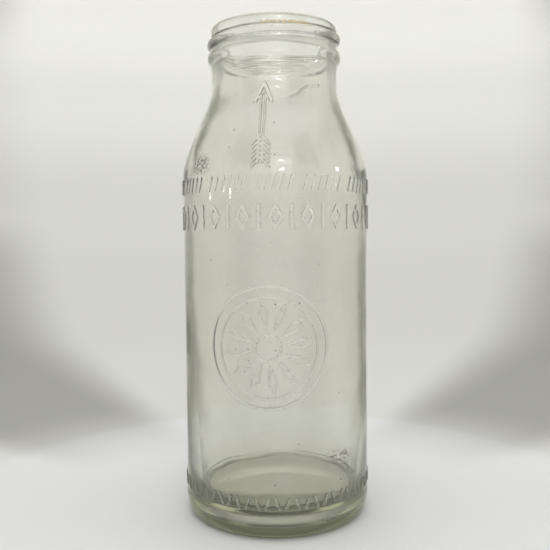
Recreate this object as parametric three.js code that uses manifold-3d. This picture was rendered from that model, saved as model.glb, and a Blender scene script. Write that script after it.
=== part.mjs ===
// Wide-mouth screw-neck glass bottle, one imperial quart.
// Units: millimetres. +Z up. Origin: centre of the circle the bottle stands on.
// The glass is one moulding. It is laid out here in the four zones that its
// mould forms: bottom plate, body wall, shoulder, and neck ring (finish).
// Neighbouring zones meet face to face on level planes.
import * as THREE from "three";
import { mergeVertices } from "three/addons/utils/BufferGeometryUtils.js";
import Module from "manifold-3d";

// ---------------------------------------------------------------- dimensions
const R_BODY = 47.0; // outer radius of the straight wall
const HEIGHT = 246.3; // standing height, to the lip land
const Z_PLATE = 12.7; // parting line round the heel, top of the bottom plate
const Z_SHOULDER = 171.0; // where the wall starts to turn in
const Z_NECK_RING = 219.0; // parting line under the neck ring
const R_BEARING_IN = 38.0; // flat ring the bottle stands on, inner edge
const R_BEARING_OUT = 40.6; // and outer edge
const PUSH_UP = 3.9; // rise of the underside at the centre
const R_NECK = 31.75; // smooth neck under the bead
const R_BORE = 28.0; // bore of the neck, at the lip
const R_LIP = 31.9; // lip band above the thread
const R_BEAD = 33.8; // bead under the thread
const Z_BEAD = 231.3;
const R_THREAD = 33.8; // crest of the thread
const Z_THREAD_FRONT = 239.1; // thread height at the front
const THREAD_PITCH = 4.6;
const THREAD_TURNS = 1.3;
const THREAD_WIDTH = 4.6; // at the root
const RELIEF = 0.55; // how far the raised ornament stands out
const SEGMENTS = 64; // round the axis

const wasm = await Module();
wasm.setup();

// ---------------------------------------------------------------- helpers
const toManifold = (geometry) => {
  const g = geometry.clone();
  for (const name of Object.keys(g.attributes)) if (name !== "position") g.deleteAttribute(name);
  const m = mergeVertices(g, 1e-4);
  return new wasm.Manifold(
    new wasm.Mesh({
      numProp: 3,
      vertProperties: new Float32Array(m.attributes.position.array),
      triVerts: new Uint32Array(m.index.array),
    }),
  );
};

const toGeometry = (solid) => {
  const mesh = solid.getMesh();
  const g = new THREE.BufferGeometry();
  const xyz = new Float32Array(mesh.numVert * 3);
  for (let i = 0; i < mesh.numVert; i++)
    for (let k = 0; k < 3; k++) xyz[i * 3 + k] = mesh.vertProperties[i * mesh.numProp + k];
  g.setAttribute("position", new THREE.BufferAttribute(xyz, 3));
  g.setIndex(new THREE.BufferAttribute(new Uint32Array(mesh.triVerts), 1));
  g.computeVertexNormals();
  return g;
};

// A closed profile of [radius, z] turned about +Z. The profile runs up the
// outside and down the inside, so the faces point out.
const turned = (profile) => {
  const loop = [...profile, profile[0]].map(([r, z]) => new THREE.Vector2(r, z));
  const g = new THREE.LatheGeometry(loop, SEGMENTS);
  g.rotateX(Math.PI / 2); // the lathe turns about +Y
  return g;
};

// A profile that starts and ends on the axis.
const turnedSolid = (profile) => {
  const g = new THREE.LatheGeometry(profile.map(([r, z]) => new THREE.Vector2(r, z)), SEGMENTS);
  g.rotateX(Math.PI / 2);
  return g;
};

const lerpTable = (table, z) => {
  if (z <= table[0][1]) return table[0][0];
  for (let i = 1; i < table.length; i++)
    if (z <= table[i][1]) {
      const [r0, z0] = table[i - 1];
      const [r1, z1] = table[i];
      return r0 + ((r1 - r0) * (z - z0)) / (z1 - z0);
    }
  return table[table.length - 1][0];
};

// ---------------------------------------------------------------- outer form
const shoulderOuter = [
  [R_BODY, Z_SHOULDER],
  [46.45, 176.0],
  [44.7, 182.2],
  [42.4, 188.3],
  [38.05, 198.3],
  [34.8, 205.9],
  [32.9, 211.4],
  [32.0, 215.4],
  [R_NECK, Z_NECK_RING],
];
const outer = (z) => (z <= Z_SHOULDER ? R_BODY : z >= Z_NECK_RING ? R_NECK : lerpTable(shoulderOuter, z));
// The inside, from the lip down to the floor. The wall thickens downwards.
const shoulderInner = [
  [43.2, Z_SHOULDER],
  [41.55, 178.0],
  [39.95, 182.6],
  [37.2, 189.5],
  [33.4, 198.2],
  [31.0, 204.0],
  [29.5, 209.0],
  [28.65, 213.8],
  [28.25, Z_NECK_RING],
];
const wallInner = [
  [37.8, Z_PLATE],
  [38.9, 13.5],
  [40.3, 15.4],
  [41.2, 17.8],
  [42.1, 25.5],
  [42.4, 32.0],
  [43.15, 60.0],
  [43.6, 120.0],
  [43.7, 160.0],
  [43.2, Z_SHOULDER],
];
const floorInner = [
  [0, 10.3],
  [20, 10.4],
  [29.0, 10.75],
  [34.0, 11.35],
  [37.8, Z_PLATE],
];

// ---------------------------------------------------------------- relief
// A raised line that follows a path of [s, z]: s runs along the surface from
// the front centre line, positive to the right, and z is height. Its sides
// lean in, so that the mould lets go of it.
const relief = (path, width, { closed = false, theta = 0, height = RELIEF } = {}) => {
  const n = path.length;
  const at = (i) => path[(i + n) % n];
  const place = (s, z, d) => {
    const r = outer(z);
    const a = theta + s / r;
    return [(r + d) * Math.sin(a), -(r + d) * Math.cos(a), z];
  };
  const xyz = [];
  for (let i = 0; i < n; i++) {
    const p = at(i);
    const before = closed || i > 0 ? at(i - 1) : p;
    const after = closed || i < n - 1 ? at(i + 1) : p;
    const unit = (a, b) => {
      const d = [b[0] - a[0], b[1] - a[1]];
      const l = Math.hypot(d[0], d[1]);
      return l > 1e-9 ? [d[0] / l, d[1] / l] : null;
    };
    const u = unit(before, p) ?? unit(p, after);
    const v = unit(p, after) ?? u;
    let nx = -(u[1] + v[1]);
    let nz = u[0] + v[0];
    const l = Math.hypot(nx, nz);
    nx /= l;
    nz /= l;
    const mitre = 1 / Math.max(0.5, nx * -u[1] + nz * u[0]);
    for (const [side, d] of [[-1, -0.8], [1, -0.8], [1, height], [-1, height]]) {
      const half = (d > 0 ? width / 2 - 0.22 : width / 2 + 0.12) * mitre * side;
      xyz.push(place(p[0] + nx * half, p[1] + nz * half, d));
    }
  }
  const faces = [];
  const quad = (a, b, c, d) => faces.push([a, b, c], [a, c, d]);
  for (let i = 0; i < (closed ? n : n - 1); i++) {
    const a = i * 4;
    const b = ((i + 1) % n) * 4;
    for (let k = 0; k < 4; k++) quad(a + k, b + k, b + ((k + 1) % 4), a + ((k + 1) % 4));
  }
  if (!closed) {
    quad(0, 1, 2, 3);
    const e = (n - 1) * 4;
    quad(e + 3, e + 2, e + 1, e);
  }
  const g = new THREE.BufferGeometry();
  g.setAttribute("position", new THREE.BufferAttribute(new Float32Array(xyz.flat()), 3));
  g.setIndex(faces.flat());
  let solid = toManifold(g);
  if (solid.volume() < 0) {
    g.setIndex(faces.map(([a, b, c]) => [a, c, b]).flat());
    solid = toManifold(g);
  }
  return solid;
};

const addAll = (body, pieces) => pieces.reduce((sum, piece) => sum.add(piece), body);
const deg = Math.PI / 180;
const bar = (theta, z, h, w, lean = 0) =>
  relief([[-lean / 2, z - h / 2 + w / 2], [lean / 2, z + h / 2 - w / 2]], w, { theta });
const lozenge = (theta, z, h, wide, w) =>
  relief([[-wide / 2, z], [0, z + h / 2 - w / 2], [wide / 2, z], [0, z - h / 2 + w / 2]], w, { theta, closed: true });

// Upper frieze: groups of leaning strokes, over the front half and a little more.
const FRIEZE_1 = { z: 166.35, h: 7.3, w: 1.2, pitch: 3.6, groups: [5, 5, 6, 5, 6, 5, 5] };
const frieze1 = () => {
  const { z, h, w, pitch, groups } = FRIEZE_1;
  const step = pitch / R_BODY;
  const slots = groups.reduce((a, b) => a + b, 0) + groups.length - 1;
  let a = (-(slots - 1) / 2) * step;
  const out = [];
  for (const count of groups) {
    for (let i = 0; i < count; i++, a += step) out.push(bar(a, z, h, w, 1.8));
    a += step;
  }
  return out;
};
// Main frieze: tall lozenges and plain upright bars in turn.
const FRIEZE_2 = { z: 151.0, h: 11.9, w: 1.9, wide: 7.0, pitch: 7.6, count: 21 };
const frieze2 = () => {
  const { z, h, w, wide, pitch, count } = FRIEZE_2;
  const out = [];
  for (let i = 0; i < count; i++) {
    const a = ((i - (count - 1) / 2) * pitch) / R_BODY;
    out.push(i % 2 ? bar(a, z, h, w) : lozenge(a, z, h, wide - w, w - 0.2));
  }
  return out;
};
// Heel frieze: short strokes leaning left and right in turn, round the front,
// just over the parting line.
const FRIEZE_3 = { z: 18.3, h: 5.8, w: 1.5, pitch: 4.7, count: 37 };
const frieze3 = () => {
  const { z, h, w, pitch, count } = FRIEZE_3;
  return Array.from({ length: count }, (_, i) =>
    bar(((i - (count - 1) / 2) * pitch) / R_BODY, z, h, w, i % 2 ? 1.6 : -1.6),
  );
};
// Medallion: two rings and a burst of straight rays, low on the front.
const MEDALLION = { theta: -4.7 * deg, z: 91.1, r: 28.2, rInner: 23.4, hub: 6.0, rays: 12 };
const medallion = () => {
  const { theta, z, r, rInner, hub, rays } = MEDALLION;
  const ring = (rad, w, n) =>
    relief(
      Array.from({ length: n }, (_, i) => {
        const a = (i / n) * 2 * Math.PI;
        return [rad * Math.cos(a), z + rad * Math.sin(a)];
      }),
      w,
      { theta, closed: true },
    );
  const out = [ring(r, 1.3, 32), ring(rInner, 1.1, 28), ring(hub, 1.2, 12)];
  for (let i = 0; i < rays; i++) {
    const a = (i / rays) * 2 * Math.PI + 7.5 * deg;
    const [c, s] = [Math.cos(a), Math.sin(a)];
    const from = hub + 2.2;
    const to = rInner - 2.0;
    const mid = from + (to - from) * 0.62;
    out.push(relief([from, mid, to].map((d) => [d * c, z + d * s]), 1.3, { theta }));
  }
  return out;
};
// Filling mark: an upright arrow with a feathered tail. The capacity is
// reached at its point.
const ARROW = { theta: -8.3 * deg, tip: 213.4, head: 204.6, neck: 188.3, tail: 173.9 };
const arrow = () => {
  const { theta, tip, head, neck, tail } = ARROW;
  const line = (a, b, w, n = 2) =>
    relief(
      Array.from({ length: n + 1 }, (_, i) => [a[0] + ((b[0] - a[0]) * i) / n, a[1] + ((b[1] - a[1]) * i) / n]),
      w,
      { theta, height: 0.6 },
    );
  const out = [
    line([0, tail + 3], [0, tip - 3.2], 2.0, 8),
    line([-3.9, head], [0.35, tip], 1.5),
    line([3.9, head], [-0.35, tip], 1.5),
  ];
  for (let i = 0; i < 6; i++) {
    const z = neck - i * 2.15;
    out.push(line([-3.6, z - 4.2], [0.3, z], 1.0, 1), line([3.6, z - 4.2], [-0.3, z], 1.0, 1));
  }
  return out;
};

// ---------------------------------------------------------------- glass zones
// Bottom plate: bearing ring, domed underside, heel and floor.
const heelArc = Array.from({ length: 5 }, (_, i) => {
  const t = (i / 4) * (Math.PI / 2);
  return [R_BEARING_OUT + (R_BODY - R_BEARING_OUT) * Math.sin(t), 8.4 * (1 - Math.cos(t))];
});
const plate = turnedSolid([
  [0, PUSH_UP],
  [12, PUSH_UP - 0.5],
  [24, PUSH_UP - 1.75],
  [34, 0.76],
  [37, 0.28],
  [R_BEARING_IN, 0],
  ...heelArc,
  [R_BODY + 0.25, 9.6],
  [R_BODY + 0.25, 12.0],
  [R_BODY, Z_PLATE],
  ...[...floorInner].reverse(),
]);

const wall = turned([[R_BODY, Z_PLATE], [R_BODY, Z_SHOULDER], ...[...wallInner].reverse()]);

const shoulder = turned([...shoulderOuter, ...[...shoulderInner].reverse()]);

const neck = turned([
  [R_NECK, Z_NECK_RING],
  [R_NECK, 227.0],
  [33.2, 229.4],
  [R_BEAD, Z_BEAD],
  [33.3, 233.2],
  [32.3, 235.2],
  [R_LIP, 242.6],
  [R_LIP, HEIGHT - 1.4],
  [R_LIP - 1.0, HEIGHT],
  [R_BORE + 1.0, HEIGHT],
  [R_BORE, HEIGHT - 1.4],
  [R_BORE, 236.0],
  [28.05, 226.6],
  [28.25, Z_NECK_RING],
]);

// Thread: one right-hand start that fades in and out, sinking into the neck.
const thread = (() => {
  const steps = Math.round(THREAD_TURNS * 40);
  const xyz = [];
  for (let i = 0; i <= steps; i++) {
    const u = i / steps;
    const a = (u - 0.5) * THREAD_TURNS * 2 * Math.PI; // 0 at the front
    const z = Z_THREAD_FRONT + (a / (2 * Math.PI)) * THREAD_PITCH;
    const fade = Math.min(1, Math.sin(Math.PI * u) * 3.2);
    const crest = 31.2 + (R_THREAD - 31.2) * Math.max(0.12, fade);
    const section = [
      [30.6, -THREAD_WIDTH / 2],
      [crest, -0.7],
      [crest, 0.7],
      [30.6, THREAD_WIDTH / 2],
    ];
    for (const [r, dz] of section) xyz.push([r * Math.sin(a), -r * Math.cos(a), z + dz]);
  }
  const k = 4;
  const faces = [];
  for (let i = 0; i < steps; i++)
    for (let j = 0; j < k; j++) {
      const a = i * k + j;
      const b = i * k + ((j + 1) % k);
      faces.push([a, a + k, b + k], [a, b + k, b]);
    }
  for (let j = 1; j < k - 1; j++) {
    faces.push([0, j, j + 1]);
    const e = steps * k;
    faces.push([e, e + j + 1, e + j]);
  }
  const g = new THREE.BufferGeometry();
  g.setAttribute("position", new THREE.BufferAttribute(new Float32Array(xyz.flat()), 3));
  g.setIndex(faces.flat());
  let solid = toManifold(g);
  if (solid.volume() < 0) {
    g.setIndex(faces.map(([a, b, c]) => [a, c, b]).flat());
    solid = toManifold(g);
  }
  return solid;
})();

// ---------------------------------------------------------------- assembly
const glass = (name, geometry, tint = 0xc9cbb9) => {
  const mesh = new THREE.Mesh(
    geometry,
    new THREE.MeshStandardMaterial({ color: tint, roughness: 0.12, metalness: 0, transparent: true, opacity: 0.4 }),
  );
  mesh.name = name;
  return mesh;
};

const bottle = new THREE.Group();
bottle.add(
  glass("glass_base", plate, 0x9c9d80),
  glass("glass_body_wall", toGeometry(addAll(toManifold(wall), [...frieze1(), ...frieze2(), ...frieze3(), ...medallion()]))),
  glass("glass_shoulder", toGeometry(addAll(toManifold(shoulder), arrow()))),
  glass("glass_neck_finish", toGeometry(toManifold(neck).add(thread))),
);

export default bottle;
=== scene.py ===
# Wide-mouth screw-neck quart bottle: the fine glass, its materials, light and camera.
import math

import bpy
import numpy as np
from mathutils import Matrix, Vector


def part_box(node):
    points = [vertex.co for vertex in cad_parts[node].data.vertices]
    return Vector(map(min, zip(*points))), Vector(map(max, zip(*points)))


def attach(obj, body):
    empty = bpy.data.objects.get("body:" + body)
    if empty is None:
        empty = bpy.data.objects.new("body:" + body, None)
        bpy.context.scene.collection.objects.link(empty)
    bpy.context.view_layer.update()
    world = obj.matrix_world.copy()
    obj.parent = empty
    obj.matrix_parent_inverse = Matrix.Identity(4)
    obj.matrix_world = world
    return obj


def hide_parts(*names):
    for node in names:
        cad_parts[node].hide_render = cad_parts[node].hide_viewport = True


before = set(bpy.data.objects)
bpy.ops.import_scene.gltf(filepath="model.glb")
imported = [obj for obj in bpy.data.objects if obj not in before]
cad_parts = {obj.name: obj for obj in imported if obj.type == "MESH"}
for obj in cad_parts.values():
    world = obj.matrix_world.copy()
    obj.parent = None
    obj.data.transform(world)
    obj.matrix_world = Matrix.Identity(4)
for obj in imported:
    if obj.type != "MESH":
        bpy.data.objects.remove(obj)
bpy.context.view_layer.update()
MM = 0.001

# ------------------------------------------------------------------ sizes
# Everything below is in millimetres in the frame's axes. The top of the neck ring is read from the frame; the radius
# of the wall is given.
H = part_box("glass_neck_finish")[1][2] / MM          # lip land
R = 47.0                                            # straight wall
Z_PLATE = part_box("glass_base")[1][2] / MM           # parting line at the heel
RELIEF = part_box("glass_body_wall")[1][0] / MM - R

LEAN = 0.9                                          # how far the bore sits off centre low down
# glass
GLASS_TINT = (0.955, 0.957, 0.925)
# painted shade: the bottom of the heel is painted dark olive for the dark the glass shows there
HEEL_SHADE = (0.20, 0.215, 0.14)
FILM = (0.04, 0.03, 0.02, 0.045)                     # everywhere, in drifts, in fine specks, more on the neck
EDGE_FILM = 0.5
ABSORB = ((0.309, 0.362, 0.02), 9.4)

# stage and light
FLOOR_COLOUR = (0.77, 0.77, 0.775)
WALL_COLOUR = (0.715, 0.712, 0.69)
GAP_LOW = 0.55                                      # the gaps between the flats, with painted shade on the floor in line with them: near the floor,
GAP_MID = 0.22                                      # at the height of the neck,
GAP_HIGH = 0.85                                     # and over it
GLOW = 0.21                                         # light that comes through the flats
GLOW_FRONT = 0.75                                   # and a bright one behind the camera
SKY = 1.0
SKY_LOW = 0.6
SKY_TOP = 1.35
LIGHTS = [
    # name, direction (degrees right of the front, degrees up), distance, width, height, watts
    ("key", (8, 29), 1.05, 0.13, 0.07, 0.35),
    ("key_diffuser", (8, 28), 1.1, 0.46, 0.3, 0.6),
    ("window_right", (80, 12), 1.05, 0.07, 0.07, 0.3),
    ("lamp_left_1", (-84, 2.4), 1.05, 0.03, 0.04, 0.07),
    ("lamp_left_2", (-54, 2.4), 1.05, 0.03, 0.04, 0.07),
]


# ------------------------------------------------------------------ profile
def wall_r(z):
    return R + 0.03 - 0.17 * math.sin(math.pi * min(max((z - 14) / 152, 0), 1))


def control_points():
    under = [(0, 3.9), (6, 3.76), (12, 3.4), (18, 2.85), (24, 2.15), (30, 1.35), (34, 0.76), (37, 0.28), (38.4, 0.06), (39.2, 0.0), (39.8, 0.0), (40.2, 0.02)]
    heel = [(40.3 + 6.72 * math.sin(t), 8.4 * (1 - math.cos(t))) for t in np.radians([8, 18, 28, 38, 48, 58, 68, 78, 87])]
    seam = [(R + 0.06, 8.9), (R + 0.16, 9.6), (R + 0.21, 10.4), (R + 0.22, 11.4), (R + 0.19, 12.1), (R + 0.04, 12.55), (R - 0.05, 12.9), (R, 13.5)]
    wall = [(wall_r(z), z) for z in np.arange(15, 170.5, 3.1)]
    shoulder = [(46.99, 171.6), (46.62, 175.3), (45.32, 180.3), (43.93, 184.4), (42.07, 189.2), (39.85, 194.2), (37.65, 199.2), (35.9, 203.2), (34.75, 206.0),
                (33.0, 210.9), (32.2, 213.7), (31.82, 216.6), (31.72, 220.0), (31.75, 223.6), (31.85, 226.0), (32.15, 227.5)]
    bead = [(32.75, 228.7), (33.4, 229.9), (33.76, 231.1), (33.7, 232.2), (33.25, 233.3), (32.7, 234.4), (32.4, 235.4)]
    root = [(32.3, 236.4), (32.22, 238.0), (32.12, 240.0), (32.02, 242.0), (31.97, 243.3)]
    lip = [(31.92, 244.3), (31.75, 245.2), (31.3, 245.95), (30.6, H - 0.03), (29.9, H), (29.15, H - 0.05), (28.55, 245.9), (28.18, 245.2), (28.04, 244.2)]
    inner = [(27.95, 242.5), (27.95, 239.0), (27.97, 235.0), (28.0, 231.0), (28.05, 227.0), (28.12, 223.0), (28.25, 219.0), (28.5, 215.0), (29.0, 211.2),
             (29.95, 207.2), (31.45, 202.8), (33.4, 198.2), (35.7, 193.0), (38.0, 187.6), (39.95, 182.6), (41.55, 178.0), (42.65, 174.0), (43.3, 170.2), (43.6, 166.0),
             (43.7, 160.0), (43.65, 140.0), (43.6, 120.0), (43.5, 100.0), (43.35, 80.0), (43.15, 60.0), (42.8, 44.0), (42.4, 32.0), (42.1, 25.5), (41.75, 21.0),
             (41.2, 17.8), (40.3, 15.4), (38.9, 13.5), (36.8, 12.15), (34.0, 11.35), (29.0, 10.75), (20.0, 10.4), (10.0, 10.3), (0.0, 10.3)]
    return under + heel + seam + wall + shoulder + bead + root + lip, inner


def spline(points, step=0.05):
    """A smooth curve through the points (centripetal Catmull-Rom), resampled evenly."""
    p = np.array(points, float)
    p = np.vstack([2 * p[0] - p[1], p, 2 * p[-1] - p[-2]])
    out = []
    for i in range(1, len(p) - 2):
        p0, p1, p2, p3 = p[i - 1 : i + 3]
        t0 = 0.0
        t1 = t0 + np.linalg.norm(p1 - p0) ** 0.5
        t2 = t1 + np.linalg.norm(p2 - p1) ** 0.5
        t3 = t2 + np.linalg.norm(p3 - p2) ** 0.5
        n = max(4, int(np.linalg.norm(p2 - p1) / step))
        t = np.linspace(t1, t2, n, endpoint=False)[:, None]
        a1 = (t1 - t) / (t1 - t0) * p0 + (t - t0) / (t1 - t0) * p1
        a2 = (t2 - t) / (t2 - t1) * p1 + (t - t1) / (t2 - t1) * p2
        a3 = (t3 - t) / (t3 - t2) * p2 + (t - t2) / (t3 - t2) * p3
        b1 = (t2 - t) / (t2 - t0) * a1 + (t - t0) / (t2 - t0) * a2
        b2 = (t3 - t) / (t3 - t1) * a2 + (t - t1) / (t3 - t1) * a3
        out.append((t2 - t) / (t2 - t1) * b1 + (t - t1) / (t2 - t1) * b2)
    out.append(p[-2][None])
    q = np.vstack(out)
    q[:, 0] = np.maximum(q[:, 0], 0)
    return q


outer_pts, inner_pts = control_points()
curve = spline(outer_pts + inner_pts)
arc = np.concatenate([[0], np.cumsum(np.linalg.norm(np.diff(curve, axis=0), axis=1))])
lip_at = int(np.argmax(curve[:, 1]))
S_LIP = arc[lip_at]
S_END = arc[-1]


def at(s):
    """Radius and height of the bare profile at arc length s."""
    return np.interp(s, arc, curve[:, 0]), np.interp(s, arc, curve[:, 1])


def profile_normal(s):
    """Outward normal of the bare profile, smoothed over a third of a millimetre."""
    r0, z0 = at(np.clip(s - 0.15, 0, S_END))
    r1, z1 = at(np.clip(s + 0.15, 0, S_END))
    dr, dz = r1 - r0, z1 - z0
    n = np.hypot(dr, dz) + 1e-12
    return dz / n, -dr / n


def s_of_z(z):
    """Arc length where the outside is at height z."""
    i0 = int(np.argmax(curve[:, 0] > 40.2))
    return np.interp(z, curve[i0:lip_at, 1], arc[i0:lip_at])


# ------------------------------------------------------------------ relief
MAP_Z0, MAP_Z1, MAP_DZ, MAP_N = 12.0, 218.0, 0.1, 2880
rows = int(round((MAP_Z1 - MAP_Z0) / MAP_DZ)) + 1
relief_map = np.zeros((rows, MAP_N), np.float32)
zs_map = MAP_Z0 + MAP_DZ * np.arange(rows)
r_map = at(s_of_z(zs_map))[0]


def stroke(paths, width, height, theta=0.0, edge=0.4, closed=False, taper=None):
    """Raises a rounded line along each path of (s, z) millimetres: s along the surface from the angle theta, z is height."""
    for path in paths:
        p = np.array(path, float)
        if closed:
            p = np.vstack([p, p[:1]])
        reach = width / 2 + edge
        lo, hi = p.min(0) - reach, p.max(0) + reach
        j0, j1 = max(0, int((lo[1] - MAP_Z0) / MAP_DZ)), min(rows, int((hi[1] - MAP_Z0) / MAP_DZ) + 2)
        if j1 <= j0:
            continue
        rmid = r_map[j0:j1]
        a0 = theta + lo[0] / rmid.min()
        a1 = theta + hi[0] / rmid.min()
        i0, i1 = int(math.floor(a0 / (2 * math.pi) * MAP_N)) - 1, int(math.ceil(a1 / (2 * math.pi) * MAP_N)) + 2
        cols = np.arange(i0, i1)
        ang = cols / MAP_N * 2 * math.pi
        s = (ang[None, :] - theta) * rmid[:, None]
        z = np.repeat(zs_map[j0:j1, None], len(cols), 1)
        d = np.full(s.shape, 1e9)
        for k in range(len(p) - 1):
            a, b = p[k], p[k + 1]
            ab = b - a
            t = np.clip(((s - a[0]) * ab[0] + (z - a[1]) * ab[1]) / max(ab @ ab, 1e-9), 0, 1)
            w = 0.0 if taper is None else (1 - (taper[0] + (taper[1] - taper[0]) * (k + t) / (len(p) - 1))) * width / 2
            d = np.minimum(d, np.hypot(s - a[0] - t * ab[0], z - a[1] - t * ab[1]) + w)
        u = np.clip((width / 2 + edge / 2 - d) / edge, 0, 1)
        h = height * u * u * (3 - 2 * u)
        cc = cols % MAP_N
        block = relief_map[j0:j1][:, cc]
        relief_map[j0:j1, cc] = np.maximum(block, h)


rng = np.random.default_rng(7)


def worn():
    """Small differences from stroke to stroke, as in an old mould."""
    return rng.normal(0, 1)


# Upper frieze: groups of leaning strokes.
f1_z, f1_h, f1_pitch, f1_groups = 166.35, 7.3, 3.6, [5, 5, 6, 5, 6, 5, 5]
slots = sum(f1_groups) + len(f1_groups) - 1
k = -(slots - 1) / 2
for g in f1_groups:
    for i in range(g):
        c = k * f1_pitch + 0.08 * worn()
        hh = f1_h / 2 - 0.6
        stroke([[(c - 0.9, f1_z - hh), (c + 0.9, f1_z + hh)]], 1.05, RELIEF * (0.86 + 0.05 * worn()), edge=0.4)
        k += 1
    k += 1
# Main frieze: tall lozenges and upright bars in turn.
f2_z, f2_h, f2_pitch, f2_n = 151.0, 11.9, 7.6, 21
for i in range(f2_n):
    c = (i - (f2_n - 1) / 2) * f2_pitch + 0.1 * worn()
    if i % 2:
        stroke([[(c, f2_z - f2_h / 2 + 0.9), (c, f2_z + f2_h / 2 - 0.9)]], 1.7, RELIEF * (0.95 + 0.04 * worn()), edge=0.42)
    else:
        stroke([[(c - 2.7, f2_z), (c, f2_z + f2_h / 2 - 0.9), (c + 2.7, f2_z), (c, f2_z - f2_h / 2 + 0.9)]], 1.45, RELIEF * (0.95 + 0.04 * worn()), edge=0.42, closed=True)
# Heel frieze: short strokes leaning left and right in turn, all the way round.
f3_z, f3_h, f3_pitch, f3_n = 18.3, 5.8, 4.7, 37
for i in range(f3_n):
    c = (i - (f3_n - 1) / 2) * f3_pitch / R
    lean = (0.8 if i % 2 else -0.8)
    hh = f3_h / 2 - 0.65
    stroke([[(-lean, f3_z - hh), (lean, f3_z + hh)]], 1.3, RELIEF * (0.9 + 0.06 * worn()), theta=c, edge=0.4)
# Medallion: rings and a burst of rays.
m_t, m_z = math.radians(-4.7), 91.1


def circle(rad, n):
    return [(rad * math.cos(t), m_z + rad * math.sin(t)) for t in np.linspace(0, 2 * math.pi, n, endpoint=False)]


stroke([circle(28.2, 90)], 1.1, 0.56, theta=m_t, edge=0.36, closed=True)
stroke([circle(23.4, 80)], 0.8, 0.46, theta=m_t, edge=0.34, closed=True)
stroke([circle(6.0, 40)], 0.9, 0.54, theta=m_t, edge=0.34, closed=True)
for i in range(12):
    t = i / 12 * 2 * math.pi + math.radians(7.5)
    c, s = math.cos(t), math.sin(t)
    a, m, b = 8.4, 16.2, 21.2
    left = [(d * c - w * s, m_z + d * s + w * c) for d, w in ((a, 0.0), (m, 1.9), (b, 0.0))]
    right = [(d * c - w * s, m_z + d * s + w * c) for d, w in ((a, 0.0), (m, -1.9), (b, 0.0))]
    stroke([left, right], 0.7, 0.48 + 0.02 * worn(), theta=m_t, edge=0.32)
# Filling mark: the arrow.
a_t = math.radians(-8.3)
tip, head, nock, tail = 213.4, 204.6, 188.3, 173.9
stroke([[(-0.95, tail + 1.0), (-0.95, tip - 6.6)], [(0.95, tail + 1.0), (0.95, tip - 6.6)]], 0.75, 0.6, theta=a_t, edge=0.32)
stroke([[(-3.7, head), (0, tip), (3.7, head)]], 1.75, 0.74, theta=a_t, edge=0.36)
stroke([[(-1.9, head + 1.2), (0, tip - 4.4), (1.9, head + 1.2)]], 0.7, 0.6, theta=a_t, edge=0.32)
for i in range(6):
    z = nock - 2.15 * i
    stroke([[(-4.0, z - 4.6), (-3.6, z - 4.0), (0, z)], [(4.0, z - 4.6), (3.6, z - 4.0), (0, z)]], 0.85, 0.62, theta=a_t, edge=0.32)


def blur(a, n, axis, wrap):
    for _ in range(2):
        out = np.zeros_like(a)
        for d in range(-n, n + 1):
            if wrap:
                out += np.roll(a, d, axis)
            else:
                b = np.roll(a, d, axis)
                if axis == 0 and d > 0:
                    b[:d] = a[:1]
                if axis == 0 and d < 0:
                    b[d:] = a[-1:]
                out += b
        a = out / (2 * n + 1)
    return a


relief_map = blur(blur(relief_map, 1, 1, True), 1, 0, False)


def relief_at(theta, z):
    """Height of the raised work at an angle from the front and a height."""
    fi = np.clip((z - MAP_Z0) / MAP_DZ, 0, rows - 1.001)
    fj = (theta / (2 * math.pi) * MAP_N) % MAP_N
    i, j = fi.astype(int), fj.astype(int) % MAP_N
    u, v = fi - i, fj - np.floor(fj)
    j2 = (j + 1) % MAP_N
    h = (relief_map[i, j] * (1 - u) * (1 - v) + relief_map[i + 1, j] * u * (1 - v) + relief_map[i, j2] * (1 - u) * v + relief_map[i + 1, j2] * u * v)
    return np.where((z < MAP_Z0) | (z > MAP_Z1), 0, h)


def bump(x):
    x = np.clip(np.abs(x), 0, 1)
    return (1 - x * x) ** 2


def thread_at(theta, z):
    """The screw thread: one right-hand start that fades in and out."""
    t = (theta + math.pi) % (2 * math.pi) - math.pi
    h = np.zeros_like(z)
    for turn in (-1, 0, 1):
        a = t + turn * 2 * math.pi
        zc = 239.15 + a / (2 * math.pi) * 4.6
        half = 1.3 * math.pi
        fade = np.clip((half - np.abs(a)) / 0.75, 0, 1)
        fade = fade * fade * (3 - 2 * fade)
        d = np.abs(z - zc)
        up = np.where(z > zc, 2.1, 2.5)
        h = np.maximum(h, 1.62 * fade * np.clip(bump(np.maximum(d - 0.25, 0) / up), 0, 1))
    return h


def waves(seed, n, kmax, zmin, zmax):
    g = np.random.default_rng(seed)
    ks = g.integers(1, kmax + 1, n)
    ms = 2 * math.pi / g.uniform(zmin, zmax, n) * g.choice([-1, 1], n)
    ph = g.uniform(0, 2 * math.pi, n)
    am = g.uniform(0.4, 1.0, n)
    am /= np.sqrt((am ** 2).sum() / 2)

    def f(theta, z):
        out = np.zeros_like(z)
        for kk, m, p, a in zip(ks, ms, ph, am):
            out += a * np.sin(kk * theta + m * z + p)
        return out

    return f


def ridge(theta, z, path, width, height):
    """A soft ridge along a path of (angle in degrees from the front, z)."""
    p = np.radians(1.0) * np.array([[a, 0] for a, _ in path]) + np.array([[0, b] for _, b in path])
    rr = 30.0
    d = np.full(z.shape, 1e9)
    t = (theta + math.pi) % (2 * math.pi) - math.pi
    for k in range(len(p) - 1):
        a, b = p[k] * [rr, 1], p[k + 1] * [rr, 1]
        ab = b - a
        u = np.clip(((t * rr - a[0]) * ab[0] + (z - a[1]) * ab[1]) / (ab @ ab), 0, 1)
        d = np.minimum(d, np.hypot(t * rr - a[0] - u * ab[0], z - a[1] - u * ab[1]))
    return height * np.exp(-((d / width) ** 2))


def dent(theta, z, theta0, z0, wide, high, depth):
    t = (theta - math.radians(theta0) + math.pi) % (2 * math.pi) - math.pi
    return depth * np.exp(-((t * 30.0 / wide) ** 2 + ((z - z0) / high) ** 2) ** 1.5)


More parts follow.
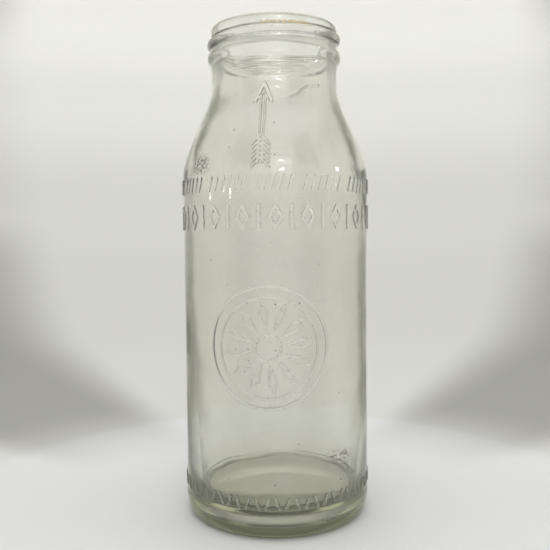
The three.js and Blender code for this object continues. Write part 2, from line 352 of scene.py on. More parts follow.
SQUIGGLE = [(8, 206.2), (14, 206.8), (20, 208.2), (25, 211.0), (31, 212.6), (44, 213.6)]
wave_out = waves(11, 9, 5, 40, 160)
wave_in = waves(23, 12, 6, 26, 110)
wave_in2 = waves(31, 10, 12, 9, 30)


def displaced(theta, s):
    """The finished surface: points for angles from the front and arc lengths along the profile."""
    r, z = at(s)
    nr, nz = profile_normal(s)
    outside = s < S_LIP
    d = np.zeros_like(s)
    o = outside & (z > 1.5) & (s > 42)
    # relief, thread and mould seams on the outside
    h = relief_at(theta, z)
    d = np.where(o & (z < 218), d + h, d)
    d = np.where(outside & (z > 232), d + thread_at(theta, z), d)
    ripple = np.clip((z - 3) / 12, 0, 1) * np.clip((H - 2.5 - z) / 12, 0, 1)
    d = np.where(o, d - 0.04 * ripple * (1 + wave_out(theta, z) * 0.4), d)
    for seam in (math.radians(90.6), math.radians(-89.1)):
        off = ((theta - seam + math.pi) % (2 * math.pi) - math.pi) * np.maximum(r, 1)
        line = np.exp(-(off / 0.34) ** 2) * np.clip((z - 4) / 5, 0, 1) * np.clip((243 - z) / 3, 0, 1)
        d = np.where(o, d + 0.13 * line, d)
    # the inside is blown, so it runs a little uneven
    fade = np.clip((z - 10.3) / 6, 0, 1) * np.clip((H - 1.2 - z) / 5, 0, 1)
    w = 0.07 * wave_in(theta, z) + 0.012 * wave_in2(theta, z)
    w = w + np.where((z > 190) & (z < 232), ridge(theta, z, SQUIGGLE, 0.7, 0.3), 0)
    w = w + np.where((z > 205) & (z < 230), dent(theta, z, -9.5, 216.3, 9.5, 2.4, 0.2), 0)
    turn = (theta - 0.06 + math.pi) % (2 * math.pi) - math.pi
    chill = bump((z - 223.0) / 6.6) * bump(turn / 0.95)
    w = w + 0.06 * chill * (np.sin(z * 3.9 + 1.3 * np.cos(2 * turn)) + 0.5 * np.sin(z * 6.3 + 2.0 * turn))
    # a thick place in the left of the shoulder
    lump = dent(theta, z, -61.0, 204.0, 15.0, 8.0, 0.7)
    w = w + np.where((z > 190) & (z < 222), lump, 0)
    # and it sits a little to the right low down, so the wall is thicker on the left
    low = np.clip((125 - z) / 70, 0, 1)
    w = w - LEAN * low * low * (3 - 2 * low) * np.cos(theta + math.radians(88))
    rad = np.clip(r / 20, 0, 1)
    d = np.where(~outside, d - fade * w * rad, d)
    r2, z2 = r + nr * d, z + nz * d
    r2 = np.maximum(r2, 0)
    return np.stack([r2 * np.sin(theta), -r2 * np.cos(theta), z2], -1)


# ------------------------------------------------------------------ rings
FINE = 1.0
s_knots = []


def band(z0, z1, step):
    a, b = s_of_z(z0), s_of_z(z1)
    n = max(1, int(round((b - a) / step)))
    return list(np.linspace(a, b, n, endpoint=False))


S_HEEL0 = arc[int(np.argmax(curve[:, 0] > 40.4))]
ring_s, ring_kind = [], []


def push(values, kind):
    ring_s.extend(values)
    ring_kind.extend([kind] * len(values))


push(list(np.linspace(2.0, 34.0, 14, endpoint=False)) + list(np.linspace(34.0, S_HEEL0, 20, endpoint=False)), "coarse")
push(list(np.linspace(S_HEEL0, s_of_z(8.6), 16, endpoint=False)), "coarse")
push(band(8.6, 14.6, 0.4), "coarse")
push(band(14.6, 22.0, 0.3 * FINE), "full")
push(band(22.0, 61.6, 4.0), "coarse")
push(band(61.6, 120.6, 0.3 * FINE), "medal")
push(band(120.6, 144.2, 4.0), "coarse")
push(band(144.2, 157.8, 0.3 * FINE), "front")
push(band(157.8, 162.1, 1.1), "front")
push(band(162.1, 170.6, 0.3 * FINE), "front")
push(band(170.6, 173.0, 0.8), "front")
push(band(173.0, 215.0, 0.3 * FINE), "arrow")
push(band(215.0, 227.0, 1.2), "coarse")
push(band(227.0, 245.0, 0.36), "neck")
push(list(np.linspace(s_of_z(245.0), S_LIP + 3.4, 22, endpoint=False)), "neck")
inner_from = S_LIP + 3.4
push(list(np.linspace(inner_from, inner_from + 52.0, 86, endpoint=False)), "inside")
push(list(np.linspace(inner_from + 52.0, S_END - 50.0, 70, endpoint=False)), "coarse")
push(list(np.linspace(S_END - 50.0, S_END - 2.0, 60)), "coarse")
ring_s = np.array(ring_s)

base_angles = np.radians(np.arange(-180, 180, 2.25))
seam_extra = np.radians([s + d for s in (90.6, -89.1) for d in (-1.0, -0.6, -0.35, -0.15, 0, 0.15, 0.35, 0.6, 1.0)])


def angle_list(ranges):
    a = list(base_angles)
    for lo, hi, step in ranges:
        lo, hi = math.radians(lo), math.radians(hi)
        a = [x for x in a if not (lo - 1e-6 <= x <= hi + 1e-6)]
        a += list(np.linspace(lo, hi, int(round((hi - lo) / math.radians(step))) + 1))
    if not any(hi >= 91 and lo <= -91 for lo, hi, _ in ranges):
        a = [x for x in a if np.min(np.abs(seam_extra - x)) > math.radians(0.1)] + list(seam_extra)
    a = np.array(sorted(a))
    keep = np.concatenate([[True], np.diff(a) > 1e-5])
    return a[keep]


angles = {
    "coarse": angle_list([]),
    "neck": angle_list([]),
    "inside": angle_list([(-45, 60, 1.0 * FINE)]),
    "front": angle_list([(-100, 100, 0.34 * FINE)]),
    "full": angle_list([(-107, 107, 0.34 * FINE)]),
    "medal": angle_list([(-43, 34, 0.34 * FINE)]),
    "arrow": angle_list([(-17, 0.5, 0.34 * FINE)]),
}

thetas, esses, starts = [], [], []
n_total = 0
for s, kind in zip(ring_s, ring_kind):
    a = angles[kind]
    starts.append(n_total)
    thetas.append(a)
    esses.append(np.full(len(a), s))
    n_total += len(a)
TH, SS = np.concatenate(thetas), np.concatenate(esses)
co = displaced(TH, SS)
e = 0.12
rr = np.maximum(at(SS)[0], 2.0)
dth = displaced(TH + e / rr, SS) - displaced(TH - e / rr, SS)
ds = displaced(TH, np.minimum(SS + e, S_END)) - displaced(TH, np.maximum(SS - e, 0))
nrm = np.cross(dth, ds)
nrm /= np.linalg.norm(nrm, axis=1)[:, None] + 1e-12

# What the surface is like at each vertex: on the flank of raised work, on its
# crest, and whether it is outside.
rz = at(SS)[1]
outside_v = SS < S_LIP
h0 = relief_at(TH, rz)
hs = (relief_at(TH + 0.15 / rr, rz) - relief_at(TH - 0.15 / rr, rz)) / 0.3
hz = (relief_at(TH, rz + 0.15) - relief_at(TH, rz - 0.15)) / 0.3
flank = np.where(outside_v, np.clip(np.hypot(hs, hz) / 1.1, 0, 1), 0)
crest = np.where(outside_v, np.clip(h0 / 0.45, 0, 1), 0) * (1 - flank)
near_co = (displaced(TH, np.minimum(SS + 0.8, S_END)) + displaced(TH, np.maximum(SS - 0.8, 0))) / 2 - co
hollow = near_co[:, 0] * np.sin(TH) - near_co[:, 1] * np.cos(TH)
recess = np.where(outside_v & (rz > 226) & (rz < 245), np.clip(hollow / 0.16, 0, 1), 0)

# painted shade: a dark line inside the shoulder along the squiggle ridge
mark = np.where(~outside_v & (rz > 198) & (rz < 220), np.clip(ridge(TH, rz, SQUIGGLE[1:5], 0.55, 0.9), 0, 0.8), 0)

faces = []
for i in range(len(ring_s) - 1):
    a, b = angles[ring_kind[i]], angles[ring_kind[i + 1]]
    A, B = starts[i], starts[i + 1]
    if len(a) == len(b) and np.allclose(a, b):
        n = len(a)
        j = np.arange(n)
        j2 = (j + 1) % n
        faces.extend(np.stack([A + j, A + j2, B + j2, B + j], 1).tolist())
        continue
    na, nb = len(a), len(b)
    ea, eb = np.append(a, a[0] + 2 * math.pi), np.append(b, b[0] + 2 * math.pi)
    i1 = j1 = 0
    while i1 < na or j1 < nb:
        if j1 >= nb or (i1 < na and ea[i1 + 1] <= eb[j1 + 1]):
            faces.append([A + i1, A + (i1 + 1) % na, B + j1 % nb])
            i1 += 1
        else:
            faces.append([A + i1 % na, B + (j1 + 1) % nb, B + j1])
            j1 += 1
# close at the axis, under and over the floor
verts = co.tolist()
normals = nrm.tolist()
bottom, top = len(verts), len(verts) + 1
verts.append([0, 0, float(curve[0, 1])])
verts.append([0, 0, float(curve[-1, 1])])
normals.append([0, 0, -1])
normals.append([0, 0, 1])
n = len(angles[ring_kind[0]])
faces.extend([[bottom, starts[0] + (j + 1) % n, starts[0] + j] for j in range(n)])
n = len(angles[ring_kind[-1]])
faces.extend([[top, starts[-1] + j, starts[-1] + (j + 1) % n] for j in range(n)])

mesh = bpy.data.meshes.new("bottle_glass")
mesh.from_pydata((np.array(verts) * MM).tolist(), [], faces)
mesh.validate()
mesh.update()
mesh.polygons.foreach_set("use_smooth", np.ones(len(mesh.polygons), bool))
mesh.normals_split_custom_set_from_vertices(normals)
pad = len(verts) - len(flank)
for name, values in (("flank", flank), ("crest", crest), ("outside", outside_v), ("recess", recess), ("mark", mark)):
    attr = mesh.attributes.new(name, "FLOAT", "POINT")
    attr.data.foreach_set("value", np.concatenate([values, np.zeros(pad)]).astype(np.float32))
bottle = bpy.data.objects.new("bottle_glass", mesh)
bpy.context.scene.collection.objects.link(bottle)
print("bottle_glass: vertices", len(mesh.vertices), "faces", len(mesh.polygons), "triangles", sum(len(p.vertices) - 2 for p in mesh.polygons))


# ------------------------------------------------------------------ node helpers
def maths(nt, op, a, b=None, c=None, clamp=False):
    n = nt.nodes.new("ShaderNodeMath")
    n.operation = op
    n.use_clamp = clamp
    for i, v in enumerate((a, b, c)):
        if v is None:
            continue
        if isinstance(v, (int, float)):
            n.inputs[i].default_value = v
        else:
            nt.links.new(v, n.inputs[i])
    return n.outputs[0]


def ramp(nt, fac, stops, smooth=True):
    n = nt.nodes.new("ShaderNodeValToRGB")
    n.color_ramp.interpolation = "EASE" if smooth else "LINEAR"
    el = n.color_ramp.elements
    while len(el) < len(stops):
        el.new(0.5)
    for e_, (p_, c_) in zip(el, stops):
        e_.position = p_
        e_.color = (*c_, 1) if len(c_) == 3 else c_
    nt.links.new(fac, n.inputs[0])
    return n.outputs[0]


# ------------------------------------------------------------------ glass
def node(nt, kind, **inputs):
    n = nt.nodes.new(kind)
    for key, value in inputs.items():
        name = key.replace("_", " ")
        if name in n.inputs:
            n.inputs[name].default_value = value
        else:
            setattr(n, key, value)
    return n


def mix(nt, fac, a, b):
    """Colour a, or b where fac is 1."""
    n = nt.nodes.new("ShaderNodeMix")
    n.data_type = "RGBA"
    for name, v in (("Factor", fac), ("A", a), ("B", b)):
        if isinstance(v, (int, float)):
            n.inputs[name].default_value = v
        elif isinstance(v, tuple):
            n.inputs[name].default_value = (*v, 1)
        else:
            nt.links.new(v, n.inputs[name])
    return n.outputs["Result"]


def blend(nt, fac, a, b):
    """Number a, or b where fac is 1."""
    n = nt.nodes.new("ShaderNodeMix")
    n.data_type = "FLOAT"
    for name, v in (("Factor", fac), ("A", a), ("B", b)):
        if isinstance(v, (int, float)):
            n.inputs[name].default_value = v
        else:
            nt.links.new(v, n.inputs[name])
    return n.outputs["Result"]


def step(nt, x, lo, hi):
    """0 below lo and 1 over hi (or the other way round), with a soft edge."""
    n = nt.nodes.new("ShaderNodeMapRange")
    n.interpolation_type = "SMOOTHSTEP"
    flip = lo > hi
    n.inputs["From Min"].default_value = min(lo, hi)
    n.inputs["From Max"].default_value = max(lo, hi)
    n.inputs["To Min"].default_value = 1.0 if flip else 0.0
    n.inputs["To Max"].default_value = 0.0 if flip else 1.0
    nt.links.new(x, n.inputs["Value"])
    return n.outputs["Result"]


def noise(nt, vector, scale, detail=2.0, rough=0.5):
    n = nt.nodes.new("ShaderNodeTexNoise")
    n.inputs["Scale"].default_value = scale
    n.inputs["Detail"].default_value = detail
    n.inputs["Roughness"].default_value = rough
    nt.links.new(vector, n.inputs["Vector"])
    return n.outputs["Fac"]


glass = bpy.data.materials.new("old_soda_glass")
glass.use_nodes = True
nt = glass.node_tree
nt.nodes.clear()
out = node(nt, "ShaderNodeOutputMaterial")
pbsdf = node(nt, "ShaderNodeBsdfPrincipled")
pbsdf.inputs["IOR"].default_value = 1.5
nt.links.new(pbsdf.outputs["BSDF"], out.inputs["Surface"])
gtc = nt.nodes.new("ShaderNodeTexCoord")
gsep = nt.nodes.new("ShaderNodeSeparateXYZ")
nt.links.new(gtc.outputs["Object"], gsep.inputs[0])
gx, gy = gsep.outputs["X"], gsep.outputs["Y"]
zmm = maths(nt, "MULTIPLY", gsep.outputs["Z"], 1000.0)
ang = maths(nt, "ARCTAN2", gx, maths(nt, "MULTIPLY", gy, -1.0))     # from the front, positive to the right
smm = maths(nt, "MULTIPLY", ang, R)
flat_vec = nt.nodes.new("ShaderNodeCombineXYZ")                    # the surface rolled out flat, in millimetres
nt.links.new(smm, flat_vec.inputs[0])
nt.links.new(zmm, flat_vec.inputs[1])
flatv = flat_vec.outputs[0]


def surface(name):
    n = nt.nodes.new("ShaderNodeAttribute")
    n.attribute_type = "GEOMETRY"
    n.attribute_name = name
    return n.outputs["Fac"]


flank_m, crest_m, outside_m, recess_m, mark_m = (surface(k) for k in ("flank", "crest", "outside", "recess", "mark"))
grazing = nt.nodes.new("ShaderNodeLayerWeight")
grazing.inputs["Blend"].default_value = 0.5
facing = grazing.outputs["Facing"]


def patch(deg, z, wide, high, hard=0.35):
    """1 inside an oval on the outside of the glass, centred at an angle and a height."""
    dx = maths(nt, "DIVIDE", maths(nt, "SUBTRACT", smm, math.radians(deg) * R), wide)
    dz = maths(nt, "DIVIDE", maths(nt, "SUBTRACT", zmm, z), high)
    d = maths(nt, "SQRT", maths(nt, "ADD", maths(nt, "MULTIPLY", dx, dx), maths(nt, "MULTIPLY", dz, dz)))
    return maths(nt, "MULTIPLY", step(nt, d, 1.0, hard), outside_m)


# age film: a thin milky haze in drifts, heavier on the neck
drift = step(nt, noise(nt, gtc.outputs["Object"], 26.0, 4.0, 0.6), 0.36, 0.68)
fine = step(nt, noise(nt, gtc.outputs["Object"], 420.0, 3.0, 0.65), 0.45, 0.75)
neckish = step(nt, zmm, 198.0, 232.0)
shoulderish = step(nt, zmm, 170.0, 212.0)
film = maths(nt, "ADD", maths(nt, "MULTIPLY", drift, FILM[1]), maths(nt, "MULTIPLY", fine, FILM[2]))
film = maths(nt, "ADD", maths(nt, "ADD", film, FILM[0]), maths(nt, "MULTIPLY", neckish, FILM[3]))
film = maths(nt, "ADD", film, maths(nt, "MULTIPLY", flank_m, 0.05))
# worn crests of the raised work, made milkier as painted highlight
film = maths(nt, "ADD", film, maths(nt, "MULTIPLY", crest_m, 0.14))
edgewise = maths(nt, "MULTIPLY", maths(nt, "MULTIPLY", facing, facing), outside_m)
film = maths(nt, "ADD", film, maths(nt, "MULTIPLY", maths(nt, "MULTIPLY", edgewise, shoulderish), EDGE_FILM))
# what dried in the bottom, more of it at the back, where its pale film is also painted light over the shade seen
# through the floor
inside_m = maths(nt, "SUBTRACT", 1.0, outside_m)
dregs_and_light = maths(nt, "MULTIPLY", maths(nt, "MULTIPLY", inside_m, step(nt, zmm, 14.5, 12.5)), step(nt, maths(nt, "ADD", maths(nt, "MULTIPLY", gy, 1000.0), maths(nt, "MULTIPLY", noise(nt, gtc.outputs["Object"], 60.0, 2.0, 0.5), 10.0)), -18.0, -6.0))
film = maths(nt, "ADD", film, maths(nt, "MULTIPLY", dregs_and_light, 0.76))
wet = maths(nt, "MULTIPLY", inside_m, step(nt, zmm, 15.5, 13.0))          # the rest of the bottom is greener
wobble = maths(nt, "SUBTRACT", noise(nt, gtc.outputs["Object"], 55.0, 4.0, 0.6), 0.5)   # makes the edges of stains uneven
# painted shade: an olive patch inside the left of the shoulder, with uneven edges like a stain
stain_s = maths(nt, "DIVIDE", maths(nt, "SUBTRACT", ang, math.radians(-58.0)), math.radians(24.0))
stain_z = maths(nt, "DIVIDE", maths(nt, "ADD", maths(nt, "SUBTRACT", zmm, 204.0), maths(nt, "MULTIPLY", stain_s, -3.0)), 9.5)
stain_d = maths(nt, "SQRT", maths(nt, "ADD", maths(nt, "MULTIPLY", stain_s, stain_s), maths(nt, "MULTIPLY", stain_z, stain_z)))
left_shoulder_shade = maths(nt, "MULTIPLY", inside_m, step(nt, maths(nt, "ADD", stain_d, maths(nt, "MULTIPLY", wobble, 1.6)), 1.2, 0.1))

# grit: a few dark specks
vor = nt.nodes.new("ShaderNodeTexVoronoi")
vor.voronoi_dimensions = "2D"
vor.inputs["Scale"].default_value = 1 / 11.0
nt.links.new(flatv, vor.inputs["Vector"])
vsep = nt.nodes.new("ShaderNodeSeparateColor")
nt.links.new(vor.outputs["Color"], vsep.inputs[0])
size = maths(nt, "MULTIPLY", maths(nt, "SUBTRACT", vsep.outputs[0], 0.5), 0.07)
speck = maths(nt, "GREATER_THAN", maths(nt, "SUBTRACT", size, vor.outputs["Distance"]), 0.0)
speck = maths(nt, "MULTIPLY", maths(nt, "MULTIPLY", speck, outside_m), 0.85)

# grime left in patches and along the thread
grain = step(nt, noise(nt, flatv, 0.83, 4.0, 0.75), 0.46, 0.52)
veins = step(nt, maths(nt, "ABSOLUTE", maths(nt, "SUBTRACT", noise(nt, flatv, 0.21, 3.0, 0.6), 0.5)), 0.032, 0.012)
grime = maths(nt, "MULTIPLY", maths(nt, "MULTIPLY", patch(-49.5, 175.8, 9.5, 6.5), grain), 0.95)
grime2 = maths(nt, "MULTIPLY", maths(nt, "MULTIPLY", patch(39.5, 36.8, 12.5, 6.5), veins), 0.9)
grime = maths(nt, "MAXIMUM", grime, grime2)
rust_band = maths(nt, "MULTIPLY", step(nt, maths(nt, "ABSOLUTE", maths(nt, "SUBTRACT", zmm, 241.5)), 1.4, 0.5), maths(nt, "MULTIPLY", step(nt, ang, -0.38, -0.1), step(nt, ang, 0.66, 0.4)))
rust = maths(nt, "MULTIPLY", maths(nt, "MULTIPLY", rust_band, outside_m), step(nt, noise(nt, flatv, 0.5, 3.0, 0.6), 0.34, 0.56))
rust = maths(nt, "MULTIPLY", rust, 0.9)
# a bruise on the bead, and scuffs on what stands proud
star = maths(nt, "MULTIPLY", patch(28.5, 224.6, 2.6, 1.9, 0.1), step(nt, noise(nt, flatv, 0.75, 2.0, 0.6), 0.47, 0.55))
scuff = maths(nt, "MULTIPLY", step(nt, maths(nt, "ABSOLUTE", maths(nt, "SUBTRACT", noise(nt, flatv, 0.16, 2.0, 0.4), 0.5)), 0.013, 0.004), step(nt, noise(nt, flatv, 0.05, 1.0, 0.5), 0.52, 0.62))
scuff = maths(nt, "MULTIPLY", maths(nt, "MULTIPLY", scuff, maths(nt, "MULTIPLY", outside_m, step(nt, zmm, 16.0, 24.0))), 0.5)
radius = maths(nt, "MULTIPLY", maths(nt, "SQRT", maths(nt, "ADD", maths(nt, "MULTIPLY", gx, gx), maths(nt, "MULTIPLY", gy, gy))), 1000.0)
rubbed_and_lit_front = step(nt, maths(nt, "ABSOLUTE", ang), 1.05, 0.3)                 # the widest place rubs; painted light makes it paler in front
# the rubbed band round the heel, whitened most in front as painted light
scuffed_and_lit = maths(nt, "MULTIPLY", maths(nt, "MULTIPLY", step(nt, zmm, 7.4, 10.2), step(nt, zmm, 13.8, 11.4)), outside_m)
scuffed_and_lit = maths(nt, "MULTIPLY", scuffed_and_lit, maths(nt, "ADD", maths(nt, "MULTIPLY", rubbed_and_lit_front, 0.68), 0.04))
# a tide line round the inside edge of the floor, darkened also as painted shade for the dark ring seen there
tide_and_shade = maths(nt, "MULTIPLY", step(nt, maths(nt, "ABSOLUTE", maths(nt, "SUBTRACT", zmm, 13.35)), 0.9, 0.25), inside_m)
# painted shade: darker streaks shaped as old runs down the inside at the left and right edges, stronger on the left
wander = maths(nt, "ADD", ang, maths(nt, "MULTIPLY", wobble, 0.7))
side_run_shade = maths(nt, "MULTIPLY", step(nt, maths(nt, "ABSOLUTE", maths(nt, "ADD", wander, 1.25)), 0.5, 0.05), step(nt, zmm, 140.0, 30.0))
right_run_shade = maths(nt, "MULTIPLY", step(nt, maths(nt, "ABSOLUTE", maths(nt, "SUBTRACT", wander, 1.2)), 0.5, 0.05), step(nt, zmm, 110.0, 30.0))
side_run_shade = maths(nt, "ADD", maths(nt, "MULTIPLY", side_run_shade, 0.5), maths(nt, "MULTIPLY", right_run_shade, 0.3))
side_run_shade = maths(nt, "MULTIPLY", maths(nt, "MULTIPLY", side_run_shade, step(nt, zmm, 14.0, 22.0)), inside_m)
# the wall thickens downwards; below the shoulder, where it is seen edge-on, it is darkened to olive as painted shade
edge_on_shade = maths(nt, "MULTIPLY", maths(nt, "MULTIPLY", step(nt, facing, 0.36, 0.72), step(nt, zmm, 165.0, 40.0)), maths(nt, "MULTIPLY", outside_m, 0.6))
# painted shade: a darker strip down the inside right of the neck and shoulder
right_shoulder_shade = maths(nt, "ABSOLUTE", maths(nt, "SUBTRACT", maths(nt, "SUBTRACT", ang, 0.78), maths(nt, "MULTIPLY", maths(nt, "SUBTRACT", zmm, 190.0), 0.0147)))
right_shoulder_shade = maths(nt, "MULTIPLY", maths(nt, "MULTIPLY", step(nt, right_shoulder_shade, 0.32, 0.05), inside_m), maths(nt, "MULTIPLY", step(nt, zmm, 176.0, 194.0), step(nt, zmm, 234.0, 224.0)))
right_shoulder_shade = maths(nt, "MULTIPLY", right_shoulder_shade, 0.4)
# the heavy glass of the foot is greener
foot = maths(nt, "MULTIPLY", maths(nt, "MULTIPLY", step(nt, zmm, 30.0, 14.0), outside_m), 0.5)
# darker olive on the sides of the heel, low down
cheek = maths(nt, "MULTIPLY", step(nt, maths(nt, "ABSOLUTE", ang), 0.5, 0.95), step(nt, maths(nt, "ABSOLUTE", ang), 1.9, 1.5))
cheek = maths(nt, "MULTIPLY", maths(nt, "MULTIPLY", cheek, step(nt, zmm, 24.0, 17.0)), maths(nt, "MULTIPLY", outside_m, 0.5))
ring_wear = maths(nt, "MULTIPLY", step(nt, zmm, 1.0, 0.3), step(nt, radius, 37.2, 38.2))
# painted shade: dark olive and less clear on the outside of the heel below about 7 mm
heel_shade = maths(nt, "MULTIPLY", maths(nt, "MULTIPLY", step(nt, zmm, 7.8, 6.9), outside_m), step(nt, radius, 38.0, 40.0))
# painted shade: near-black in the hollows of the neck finish, darker where they are seen edge-on
gutter_shade = maths(nt, "MULTIPLY", step(nt, recess_m, 0.3, 0.85), maths(nt, "ADD", maths(nt, "MULTIPLY", facing, 1.15), maths(nt, "MULTIPLY", noise(nt, flatv, 0.12, 3.0, 0.6), 0.5)), clamp=True)
# painted shade along the flanks of the raised work, most of it round the arrow, and grit caught there in patches
arrowish = maths(nt, "MULTIPLY", step(nt, maths(nt, "ABSOLUTE", maths(nt, "ADD", ang, 0.145)), 0.2, 0.16), step(nt, zmm, 171.0, 173.0))
flank_shade = maths(nt, "ADD", maths(nt, "MULTIPLY", arrowish, 0.38), 0.36)
grit = maths(nt, "MULTIPLY", maths(nt, "MULTIPLY", flank_m, outside_m), step(nt, noise(nt, flatv, 0.7, 3.0, 0.7), 0.56, 0.62))
grit = maths(nt, "MULTIPLY", grit, 0.8)

# painted shade: greener and darker where the outside is seen edge-on
tone = mix(nt, maths(nt, "MULTIPLY", edgewise, 0.55), GLASS_TINT, (0.83, 0.86, 0.64))
tone = mix(nt, foot, tone, (0.86, 0.89, 0.64))
tone = mix(nt, heel_shade, tone, HEEL_SHADE)
# painted shade on the flanks of the raised work
tone = mix(nt, maths(nt, "MULTIPLY", flank_m, flank_shade), tone, (0.50, 0.51, 0.42))
tone = mix(nt, grit, tone, (0.16, 0.15, 0.12))
# near-white crests: worn glass and painted highlight
tone = mix(nt, crest_m, tone, (0.99, 0.99, 0.97))
tone = mix(nt, maths(nt, "MULTIPLY", ring_wear, 0.6), tone, (0.72, 0.72, 0.64))
tone = mix(nt, left_shoulder_shade, tone, (0.30, 0.32, 0.22))
tone = mix(nt, right_shoulder_shade, tone, (0.50, 0.50, 0.41))
tone = mix(nt, edge_on_shade, tone, (0.34, 0.37, 0.22))
tone = mix(nt, side_run_shade, tone, (0.34, 0.36, 0.25))
tone = mix(nt, cheek, tone, (0.20, 0.225, 0.11))
# painted shade along the inner squiggle ridge
tone = mix(nt, mark_m, tone, (0.3, 0.3, 0.24))
tone = mix(nt, grime, tone, (0.09, 0.075, 0.055))
tone = mix(nt, gutter_shade, tone, (0.07, 0.065, 0.05))
tone = mix(nt, wet, tone, (0.84, 0.86, 0.74))
tone = mix(nt, dregs_and_light, tone, (0.80, 0.79, 0.69))
tone = mix(nt, tide_and_shade, tone, (0.45, 0.46, 0.36))
tone = mix(nt, scuffed_and_lit, tone, (0.93, 0.93, 0.84))
tone = mix(nt, rust, tone, (0.60, 0.45, 0.23))
tone = mix(nt, speck, tone, (0.035, 0.03, 0.025))
tone = mix(nt, maths(nt, "MAXIMUM", star, scuff), tone, (0.93, 0.93, 0.90))
nt.links.new(tone, pbsdf.inputs["Base Color"])
clear = maths(nt, "SUBTRACT", 1.0, film)
clear = blend(nt, heel_shade, clear, 0.4)
clear = blend(nt, ring_wear, clear, 0.75)
clear = blend(nt, grime, clear, 0.25)
clear = blend(nt, left_shoulder_shade, clear, 0.55)
clear = blend(nt, right_shoulder_shade, clear, 0.7)
clear = blend(nt, side_run_shade, clear, 0.6)
clear = blend(nt, cheek, clear, 0.6)
clear = blend(nt, mark_m, clear, 0.7)
clear = blend(nt, tide_and_shade, clear, 0.68)
clear = blend(nt, scuffed_and_lit, clear, 0.55)
clear = blend(nt, grit, clear, 0.4)
clear = blend(nt, rust, clear, 0.35)
clear = blend(nt, gutter_shade, clear, 0.3)
clear = blend(nt, speck, clear, 0.05)
clear = blend(nt, star, clear, 0.35)
clear = blend(nt, scuff, clear, 0.7)
nt.links.new(clear, pbsdf.inputs["Transmission Weight"])
rough = blend(nt, maths(nt, "MAXIMUM", ring_wear, star), maths(nt, "ADD", maths(nt, "MULTIPLY", drift, 0.02), 0.02), 0.42)
nt.links.new(rough, pbsdf.inputs["Roughness"])
vol = node(nt, "ShaderNodeVolumeAbsorption")
vol.inputs["Color"].default_value = (*ABSORB[0], 1)
vol.inputs["Density"].default_value = ABSORB[1]
nt.links.new(vol.outputs["Volume"], out.inputs["Volume"])
mesh.materials.append(glass)

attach(bottle, "root")
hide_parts("glass_base", "glass_body_wall", "glass_shoulder", "glass_neck_finish")

# ------------------------------------------------------------------ stage
# A round pale floor that turns up into a wall on every side, so that the bottle stands before the same plain paper
# from any angle. Between the four pale panels the paper is darker, as the gaps between flats in a studio are, and on
# the floor in line with the gaps it is darkened as painted shade.
def sweep():
    prof = [(0.0, 0.0), (0.06, 0.0), (0.12, 0.0), (0.18, 0.0), (0.26, 0.0), (0.36, 0.0), (0.48, 0.0), (0.6, 0.0)]
    for t in np.linspace(0, math.pi / 2, 16)[1:]:
        prof.append((0.6 + 0.6 * math.sin(t), 0.6 * (1 - math.cos(t))))
    prof += [(1.2, 0.8), (1.2, 1.1), (1.2, 1.5)]
    n = 96
    v, f = [(0, 0, 0)], []
    for r, z in prof[1:]:
        v += [(r * math.sin(a), r * math.cos(a), z) for a in np.linspace(0, 2 * math.pi, n, endpoint=False)]
    f += [(0, 1 + (j + 1) % n, 1 + j) for j in range(n)]
    for i in range(len(prof) - 2):
        a, b = 1 + i * n, 1 + (i + 1) * n
        f += [(a + j, a + (j + 1) % n, b + (j + 1) % n, b + j) for j in range(n)]
    m = bpy.data.meshes.new("backdrop")
    m.from_pydata(v, [], f)
    m.polygons.foreach_set("use_smooth", np.ones(len(f), bool))
    return bpy.data.objects.new("backdrop", m)


backdrop = sweep()
bpy.context.scene.collection.objects.link(backdrop)
paper = bpy.data.materials.new("pale_paper")
paper.use_nodes = True
pt = paper.node_tree
pp = pt.nodes["Principled BSDF"]
pp.inputs["Roughness"].default_value = 0.9
tc = pt.nodes.new("ShaderNodeTexCoord")
sep = pt.nodes.new("ShaderNodeSeparateXYZ")
pt.links.new(tc.outputs["Object"], sep.inputs[0])
az = maths(pt, "ARCTAN2", sep.outputs["X"], sep.outputs["Y"])
fold = maths(pt, "ABSOLUTE", maths(pt, "SINE", maths(pt, "MULTIPLY", az, 2.0)))       # 0 on the axes, 1 between them
rad = maths(pt, "SQRT", maths(pt, "ADD", maths(pt, "POWER", sep.outputs["X"], 2.0), maths(pt, "POWER", sep.outputs["Y"], 2.0)))
gap = ramp(pt, fold, [(0.73, (0, 0, 0)), (0.95, (1, 1, 1))])
low = ramp(pt, rad, [(0.1, (0, 0, 0)), (0.26, (GAP_LOW,) * 3)])
up = ramp(pt, maths(pt, "MULTIPLY", sep.outputs["Z"], 0.625), [(0.06, (0, 0, 0)), (0.14, (GAP_MID,) * 3), (0.31, (GAP_MID,) * 3), (0.39, (GAP_HIGH,) * 3)])
# painted shade on the floor in the gap sectors, from a tenth of a metre out
lower = maths(pt, "MULTIPLY", low, ramp(pt, maths(pt, "MULTIPLY", sep.outputs["Z"], 0.625), [(0.06, (1, 1, 1)), (0.14, (0, 0, 0))]))
dark = maths(pt, "MULTIPLY", gap, maths(pt, "MAXIMUM", lower, up))
near = ramp(pt, rad, [(0.176, FLOOR_COLOUR), (0.198, WALL_COLOUR)])
mixn = pt.nodes.new("ShaderNodeMix")
mixn.data_type = "RGBA"
pt.links.new(dark, mixn.inputs["Factor"])
pt.links.new(near, mixn.inputs["A"])
mixn.inputs["B"].default_value = (0.085, 0.09, 0.06, 1)
pt.links.new(mixn.outputs["Result"], pp.inputs["Base Color"])
pt.links.new(mixn.outputs["Result"], pp.inputs["Emission Color"])
glow = ramp(pt, sep.outputs["Z"], [(0.03, (0, 0, 0)), (0.2, (GLOW * 0.4,) * 3), (0.42, (GLOW * 1.42,) * 3), (0.57, (GLOW * 2.1,) * 3)])
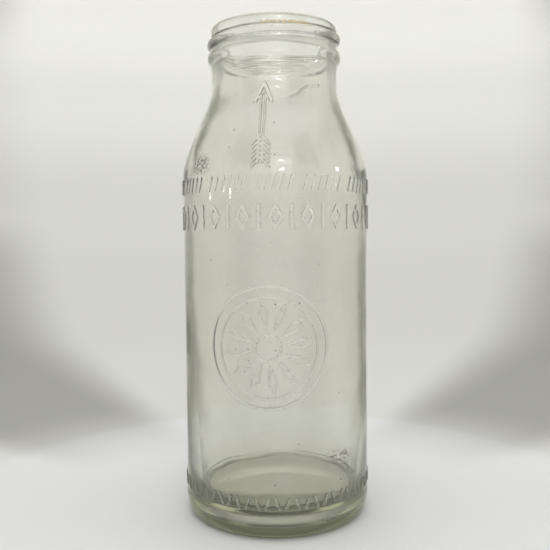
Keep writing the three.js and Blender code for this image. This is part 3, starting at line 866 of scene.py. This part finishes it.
front = maths(pt, "MULTIPLY", ramp(pt, maths(pt, "MULTIPLY", sep.outputs["Y"], -0.8), [(0.45, (0, 0, 0)), (0.85, (GLOW_FRONT,) * 3)]), ramp(pt, sep.outputs["Z"], [(0.15, (0, 0, 0)), (0.4, (1, 1, 1))]))
pt.links.new(maths(pt, "ADD", glow, front), pp.inputs["Emission Strength"])
backdrop.data.materials.append(paper)


def area(name, loc, target, size, power, size_y=None, colour=(1, 1, 1)):
    light = bpy.data.lights.new(name, "AREA")
    light.energy = power
    light.color = colour
    light.shape = "RECTANGLE"
    light.size = size
    light.size_y = size_y or size
    ob = bpy.data.objects.new(name, light)
    ob.location = loc
    ob.rotation_euler = (Vector(target) - Vector(loc)).to_track_quat("-Z", "Y").to_euler()
    bpy.context.scene.collection.objects.link(ob)
    return ob


for name, (side, up), dist, size, size_y, power in LIGHTS:
    side, up = math.radians(side), math.radians(up)
    loc = (dist * math.sin(side) * math.cos(up), -dist * math.cos(side) * math.cos(up), 0.16 + dist * math.sin(up))
    area(name, loc, (0, 0, 0.16), size, power, size_y)

# The sky of the studio: bright overhead, dimmer towards the horizon.
world = bpy.data.worlds.new("studio")
bpy.context.scene.world = world
world.use_nodes = True
wt = world.node_tree
bg = wt.nodes["Background"]
wc = wt.nodes.new("ShaderNodeTexCoord")
ws = wt.nodes.new("ShaderNodeSeparateXYZ")
wt.links.new(wc.outputs["Generated"], ws.inputs[0])
sky = ramp(wt, maths(wt, "ADD", maths(wt, "MULTIPLY", ws.outputs["Z"], 0.5), 0.5), [(0.5, (SKY_LOW,) * 3), (0.82, (SKY_LOW,) * 3), (0.92, (SKY_TOP,) * 3), (1.0, (SKY_TOP,) * 3)])
wt.links.new(sky, bg.inputs["Color"])
bg.inputs["Strength"].default_value = SKY

# ------------------------------------------------------------------ camera
cam_data = bpy.data.cameras.new("camera")
cam_data.lens = 45.7
cam_data.sensor_width = 36.0
cam_data.clip_start = 0.01
cam = bpy.data.objects.new("camera", cam_data)
cam.matrix_world = (
    Matrix.Translation((0, -7.7101 * R * MM, 3.051 * R * MM))
    @ Matrix.Rotation(math.radians(0.063), 4, "Z")
    @ Matrix.Rotation(math.radians(90 - 3.4354), 4, "X")
    @ Matrix.Rotation(math.radians(-0.4616), 4, "Z")
)
bpy.context.scene.collection.objects.link(cam)
bpy.context.scene.camera = cam

sc = bpy.context.scene
sc.cycles.max_bounces = 24
sc.cycles.transmission_bounces = 24
sc.view_settings.view_transform = "Standard"
